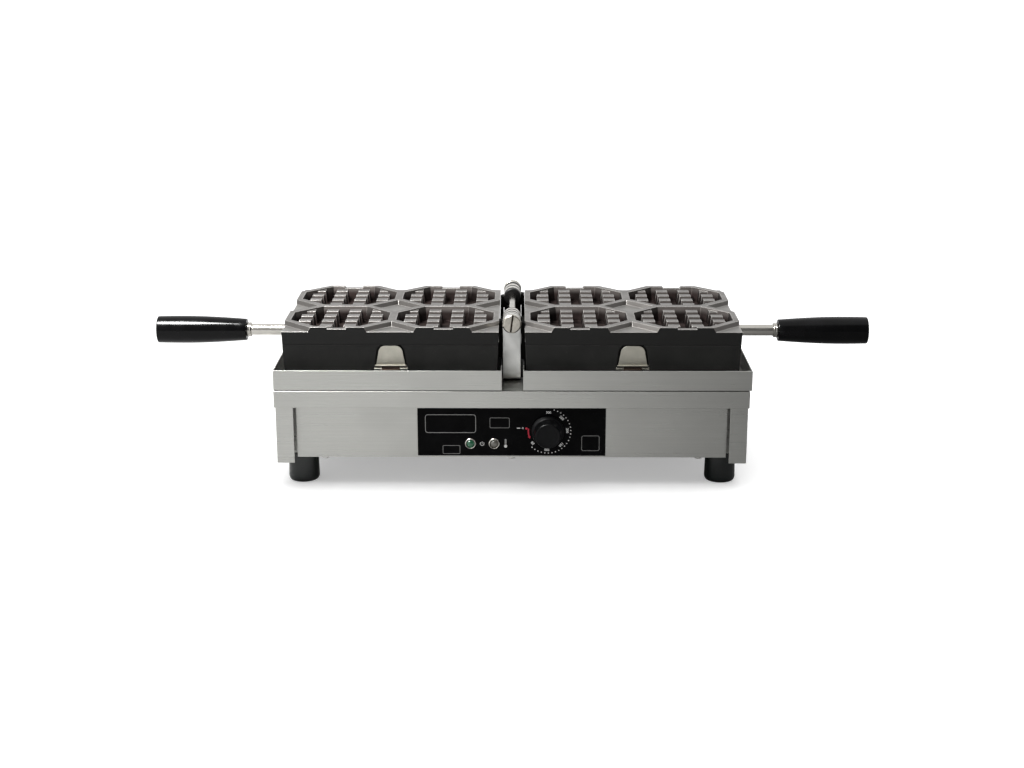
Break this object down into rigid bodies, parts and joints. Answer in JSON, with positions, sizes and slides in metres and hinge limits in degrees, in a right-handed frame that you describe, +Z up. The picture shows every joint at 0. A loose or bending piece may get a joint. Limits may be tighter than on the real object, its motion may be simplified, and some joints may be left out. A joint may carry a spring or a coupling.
{
  "type": "electric waffle iron",
  "caption": "Two-sided electric waffle iron: heated plate blocks with waffle cavities fold over a centre hinge, on a stainless cabinet with drip trays and a thermostat.",
  "frame": {"origin": "on the ground, under the middle of the machine", "axes": "+X across the machine towards the right-hand handle, +Y from the front to the back, +Z up"},
  "size_m": [0.7866, 0.282, 0.1827],
  "materials": {
    "steel": "brushed stainless sheet",
    "polished_steel": "bright turned steel",
    "nickel": "satin nickel plate",
    "casting": "blackened cast iron",
    "plate_iron": "seasoned cast iron, grey where worn",
    "phenolic": "glossy black phenolic",
    "label": "glossy black film",
    "knob_plastic": "satin black",
    "foot_plastic": "glossy black",
    "black_oxide": "black oxide",
    "green_lens": "tinted translucent lens",
    "clear_lens": "clear lens",
    "heater_sheath": "heat-browned sheath",
    "mineral_wool": "fibrous mat",
    "white_plastic": "matt",
    "grey_plastic": "matt",
    "lead_sleeve": "woven glass-fibre sleeve"
  },
  "bodies": {
    "base": {"deck": "steel", "left_side_panel": "steel", "right_side_panel": "steel", "front_panel": "steel", "rear_panel": "steel", "base_plate": "steel", "front_left_foot": "foot_plastic", "back_left_foot": "foot_plastic", "front_right_foot": "foot_plastic", "back_right_foot": "foot_plastic", "panel_screw_1": "polished_steel", "panel_screw_2": "polished_steel", "panel_screw_3": "polished_steel", "control_label": "label", "thermostat": "grey_plastic", "power_lamp_bezel": "polished_steel", "power_lamp_lens": "green_lens", "heating_lamp_bezel": "polished_steel", "heating_lamp_lens": "clear_lens", "terminal_block": "white_plastic", "power_relay": "grey_plastic", "safety_thermostat": "white_plastic", "cable_gland": "grey_plastic", "supply_lead": "lead_sleeve", "heater_lead": "lead_sleeve", "lamp_lead": "lead_sleeve", "front_upright": "steel", "rear_upright": "steel", "hinge_axle": "polished_steel", "front_pivot_nut": "nickel", "rear_pivot_nut": "nickel", "spacer_bush": "black_oxide"},
    "knob": {"thermostat_knob": "knob_plastic"},
    "left_block": {"left_waffle_plate": "plate_iron", "left_block_housing": "casting", "left_heating_element": "heater_sheath", "left_insulation_pad": "mineral_wool", "left_lock_pin": "nickel", "left_handle_rod": "polished_steel", "left_handle_collar": "polished_steel", "left_handle_grip": "phenolic", "left_front_knuckle": "nickel", "left_rear_knuckle": "nickel"},
    "left_lock": {"left_lock_tab": "nickel"},
    "left_tray": {"left_drip_tray": "steel"},
    "right_block": {"right_waffle_plate": "plate_iron", "right_block_housing": "casting", "right_heating_element": "heater_sheath", "right_insulation_pad": "mineral_wool", "right_lock_pin": "nickel", "right_handle_rod": "polished_steel", "right_handle_collar": "polished_steel", "right_handle_grip": "phenolic", "right_front_knuckle": "nickel", "right_rear_knuckle": "nickel"},
    "right_lock": {"right_lock_tab": "nickel"},
    "right_tray": {"right_drip_tray": "steel"}
  },
  "joints": [
    {"name": "left_block_hinge", "type": "hinge", "parent": "base", "child": "left_block", "pos_m": [0, 0, 0.1727], "axis": [0, 1, 0], "range_deg": [0, 180]},
    {"name": "right_block_hinge", "type": "hinge", "parent": "base", "child": "right_block", "pos_m": [0, 0, 0.1727], "axis": [0, -1, 0], "range_deg": [0, 180]},
    {"name": "left_lock_hinge", "type": "hinge", "parent": "left_block", "child": "left_lock", "pos_m": [-0.1277, -0.108, 0.1279], "axis": [1, 0, 0], "range_deg": [0, 12], "stiffness_Nm_per_rad": 0.5, "springref_deg": -11.46},
    {"name": "right_lock_hinge", "type": "hinge", "parent": "right_block", "child": "right_lock", "pos_m": [0.1277, -0.108, 0.1279], "axis": [1, 0, 0], "range_deg": [0, 12], "stiffness_Nm_per_rad": 0.5, "springref_deg": -11.46},
    {"name": "knob_turn", "type": "hinge", "parent": "base", "child": "knob", "pos_m": [0.0383, -0.141, 0.0621], "axis": [0, -1, 0], "range_deg": [0, 270]},
    {"name": "left_tray_slide", "type": "slide", "parent": "base", "child": "left_tray", "axis": [0, -1, 0], "range_m": [0, 0.2]},
    {"name": "right_tray_slide", "type": "slide", "parent": "base", "child": "right_tray", "axis": [0, -1, 0], "range_m": [0, 0.2]}
  ]
}
